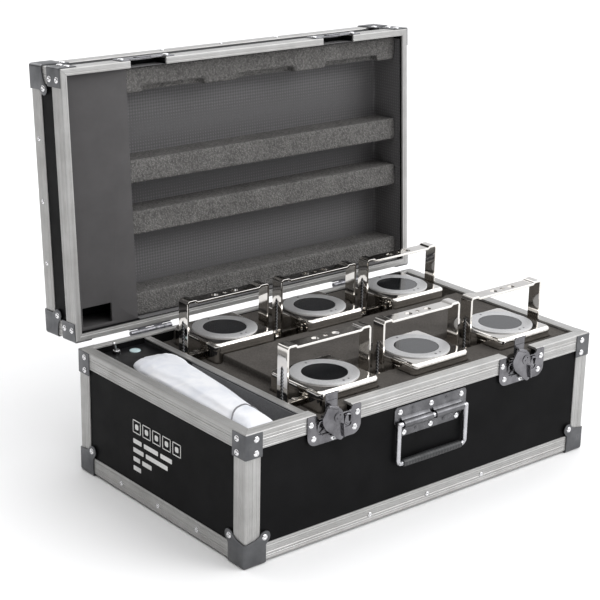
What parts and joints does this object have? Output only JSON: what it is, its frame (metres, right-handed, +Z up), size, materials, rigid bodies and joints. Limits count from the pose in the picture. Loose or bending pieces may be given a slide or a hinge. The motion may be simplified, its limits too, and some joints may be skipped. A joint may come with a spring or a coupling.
{
  "type": "uplight flight case set",
  "caption": "Flight case with hinged lid, foam tray of lift-out square battery uplights with swinging brackets, charger compartment, twist latches and carry handle.",
  "frame": {"origin": "middle of the case's footprint, at the level of the surface it stands on", "axes": "+X to the right along the front, +Y from the front to the hinge side, +Z up"},
  "size_m": [0.575, 0.4573, 0.5175],
  "materials": {
    "laminate": "satin",
    "edge_aluminium": "satin",
    "zinc_steel": "satin",
    "rivet_steel": "polished",
    "hinge_steel": "satin",
    "divider_board": "matte",
    "felt": "matte",
    "black_panel": "satin",
    "bright_metal": "polished",
    "indicator_lens": "gloss",
    "supply_case": "satin",
    "white_fabric": "matte",
    "brown_foam": "matte",
    "grey_foam": "matte",
    "grey_panel": "satin",
    "lining_fabric": "matte",
    "latch_steel": "satin",
    "handle_steel": "gloss",
    "grip_rubber": "matte",
    "mirror_chrome": "polished",
    "satin_ring": "satin",
    "dark_glass": "gloss",
    "electronics": "matte"
  },
  "bodies": {
    "case_base": {"base_shell": "laminate", "base_profiles": "edge_aluminium", "base_corners": "zinc_steel", "base_rivets": "rivet_steel", "hinge_base": "hinge_steel", "divider": "divider_board", "compartment_liner": "felt", "charger_panel": "black_panel", "charge_indicator": "indicator_lens", "power_supply": "supply_case", "foam_tray": "brown_foam", "latch_plates": "latch_steel", "handle_plate": "handle_steel"},
    "lid": {"lid_shell": "laminate", "lid_profiles": "edge_aluminium", "lid_corners": "zinc_steel", "lid_rivets": "rivet_steel", "hinge_lid": "hinge_steel", "lid_foam_bars": "grey_foam", "lid_pocket_cover": "grey_panel", "lid_lining": "lining_fabric", "lid_catches": "latch_steel"},
    "latch_wing_left": {"latch_wing_left": "latch_steel"},
    "latch_wing_right": {"latch_wing_right": "latch_steel"},
    "latch_hook_left": {"latch_hook_left": "latch_steel"},
    "latch_hook_right": {"latch_hook_right": "latch_steel"},
    "carry_handle": {"handle_bail": "handle_steel", "handle_grip": "grip_rubber"},
    "switch_lever": {"power_switch": "bright_metal"},
    "pouch": {"accessory_pouch": "white_fabric"},
    "uplight_1": {"uplight_1_housing": "mirror_chrome", "uplight_1_bezel": "satin_ring", "uplight_1_window": "dark_glass", "uplight_1_core": "electronics"},
    "bracket_1": {"uplight_1_bracket": "mirror_chrome"},
    "uplight_2": {"uplight_2_housing": "mirror_chrome", "uplight_2_bezel": "satin_ring", "uplight_2_window": "dark_glass", "uplight_2_core": "electronics"},
    "bracket_2": {"uplight_2_bracket": "mirror_chrome"},
    "uplight_3": {"uplight_3_housing": "mirror_chrome", "uplight_3_bezel": "satin_ring", "uplight_3_window": "dark_glass", "uplight_3_core": "electronics"},
    "bracket_3": {"uplight_3_bracket": "mirror_chrome"},
    "uplight_4": {"uplight_4_housing": "mirror_chrome", "uplight_4_bezel": "satin_ring", "uplight_4_window": "dark_glass", "uplight_4_core": "electronics"},
    "bracket_4": {"uplight_4_bracket": "mirror_chrome"},
    "uplight_5": {"uplight_5_housing": "mirror_chrome", "uplight_5_bezel": "satin_ring", "uplight_5_window": "dark_glass", "uplight_5_core": "electronics"},
    "bracket_5": {"uplight_5_bracket": "mirror_chrome"},
    "uplight_6": {"uplight_6_housing": "mirror_chrome", "uplight_6_bezel": "satin_ring", "uplight_6_window": "dark_glass", "uplight_6_core": "electronics"},
    "bracket_6": {"uplight_6_bracket": "mirror_chrome"}
  },
  "joints": [
    {"name": "lid_hinge", "type": "hinge", "parent": "case_base", "child": "lid", "pos_m": [0, 0.1775, 0.166], "axis": [-1, 0, 0], "range_deg": [-93.5, 0]},
    {"name": "handle_swing", "type": "hinge", "parent": "case_base", "child": "carry_handle", "pos_m": [0, -0.1764, 0.121], "axis": [-1, 0, 0], "range_deg": [0, 95]},
    {"name": "switch_tilt", "type": "hinge", "parent": "case_base", "child": "switch_lever", "pos_m": [-0.2415, 0.153, 0.155], "axis": [0, 1, 0], "range_deg": [0, 30]},
    {"name": "pouch_lift", "type": "slide", "parent": "case_base", "child": "pouch", "axis": [0, 0, 1], "range_m": [0, 0.12]},
    {"name": "latch_turn_left", "type": "hinge", "parent": "case_base", "child": "latch_wing_left", "pos_m": [-0.1565, -0.175, 0.15], "axis": [0, -1, 0], "range_deg": [0, 90]},
    {"name": "latch_pull_left", "type": "hinge", "parent": "case_base", "child": "latch_hook_left", "pos_m": [-0.1565, -0.167, 0.1562], "axis": [1, 0, 0], "range_deg": [0, 4.5]},
    {"name": "latch_turn_right", "type": "hinge", "parent": "case_base", "child": "latch_wing_right", "pos_m": [0.1565, -0.175, 0.15], "axis": [0, -1, 0], "range_deg": [0, 90]},
    {"name": "latch_pull_right", "type": "hinge", "parent": "case_base", "child": "latch_hook_right", "pos_m": [0.1565, -0.167, 0.1562], "axis": [1, 0, 0], "range_deg": [0, 4.5]},
    {"name": "uplight_1_lift", "type": "slide", "parent": "case_base", "child": "uplight_1", "axis": [0, 0, 1], "range_m": [0, 0.15]},
    {"name": "bracket_1_swing", "type": "hinge", "parent": "uplight_1", "child": "bracket_1", "pos_m": [-0.108, -0.097, 0.147], "axis": [-1, 0, 0], "range_deg": [0, 50]},
    {"name": "uplight_2_lift", "type": "slide", "parent": "case_base", "child": "uplight_2", "axis": [0, 0, 1], "range_m": [0, 0.15]},
    {"name": "bracket_2_swing", "type": "hinge", "parent": "uplight_2", "child": "bracket_2", "pos_m": [0.043, -0.097, 0.147], "axis": [-1, 0, 0], "range_deg": [0, 50]},
    {"name": "uplight_3_lift", "type": "slide", "parent": "case_base", "child": "uplight_3", "axis": [0, 0, 1], "range_m": [0, 0.15]},
    {"name": "bracket_3_swing", "type": "hinge", "parent": "uplight_3", "child": "bracket_3", "pos_m": [0.194, -0.097, 0.147], "axis": [-1, 0, 0], "range_deg": [0, 50]},
    {"name": "uplight_4_lift", "type": "slide", "parent": "case_base", "child": "uplight_4", "axis": [0, 0, 1], "range_m": [0, 0.15]},
    {"name": "bracket_4_swing", "type": "hinge", "parent": "uplight_4", "child": "bracket_4", "pos_m": [-0.108, 0.103, 0.147], "axis": [1, 0, 0], "range_deg": [0, 50]},
    {"name": "uplight_5_lift", "type": "slide", "parent": "case_base", "child": "uplight_5", "axis": [0, 0, 1], "range_m": [0, 0.15]},
    {"name": "bracket_5_swing", "type": "hinge", "parent": "uplight_5", "child": "bracket_5", "pos_m": [0.043, 0.103, 0.147], "axis": [1, 0, 0], "range_deg": [0, 50]},
    {"name": "uplight_6_lift", "type": "slide", "parent": "case_base", "child": "uplight_6", "axis": [0, 0, 1], "range_m": [0, 0.15]},
    {"name": "bracket_6_swing", "type": "hinge", "parent": "uplight_6", "child": "bracket_6", "pos_m": [0.194, 0.103, 0.147], "axis": [1, 0, 0], "range_deg": [0, 50]}
  ],
  "couplings": [
    {"joint": "latch_pull_left", "follows": "latch_turn_left", "ratio": 0.05},
    {"joint": "latch_pull_right", "follows": "latch_turn_right", "ratio": 0.05}
  ]
}
